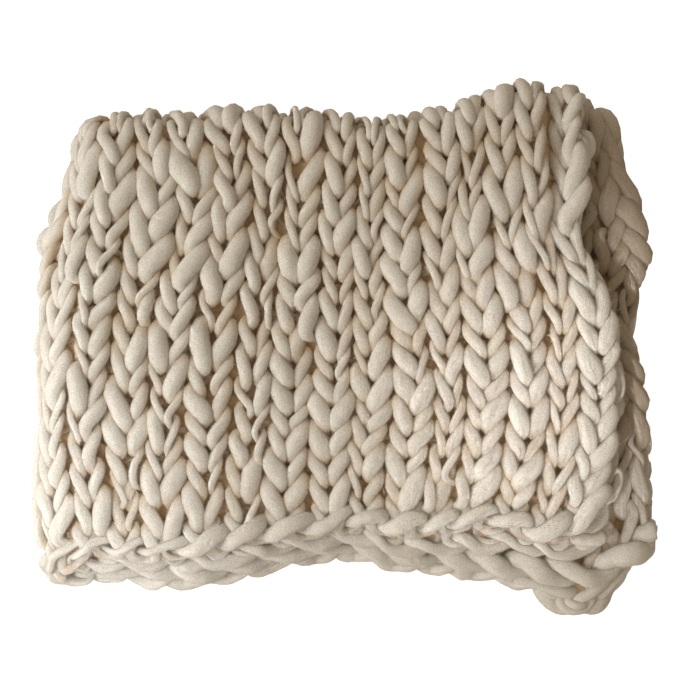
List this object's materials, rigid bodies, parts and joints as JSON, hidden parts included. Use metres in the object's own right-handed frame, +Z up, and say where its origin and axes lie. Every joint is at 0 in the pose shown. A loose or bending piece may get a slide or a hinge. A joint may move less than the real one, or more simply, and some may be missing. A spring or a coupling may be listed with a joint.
{
  "type": "folded baby blanket",
  "caption": "Chunky hand-knit baby blanket in cream thick-and-thin wool, folded in quarters, with rounded folds at the left and far side and open bound-off edges at the right and near side",
  "frame": {"origin": "on the surface it lies on, below the middle of its bounding box", "axes": "+X across the columns of stitches, from the left fold towards the open side; +Y along the columns, from the open bound-off edges towards the far folds; +Z up, out of the layer on show"},
  "size_m": [0.3374, 0.2912, 0.0509],
  "materials": {
    "cream_wool": "matte, lightly spun single-ply wool with loose fibres"
  },
  "bodies": {
    "root": {"blanket": "cream_wool"}
  },
  "joints": []
}
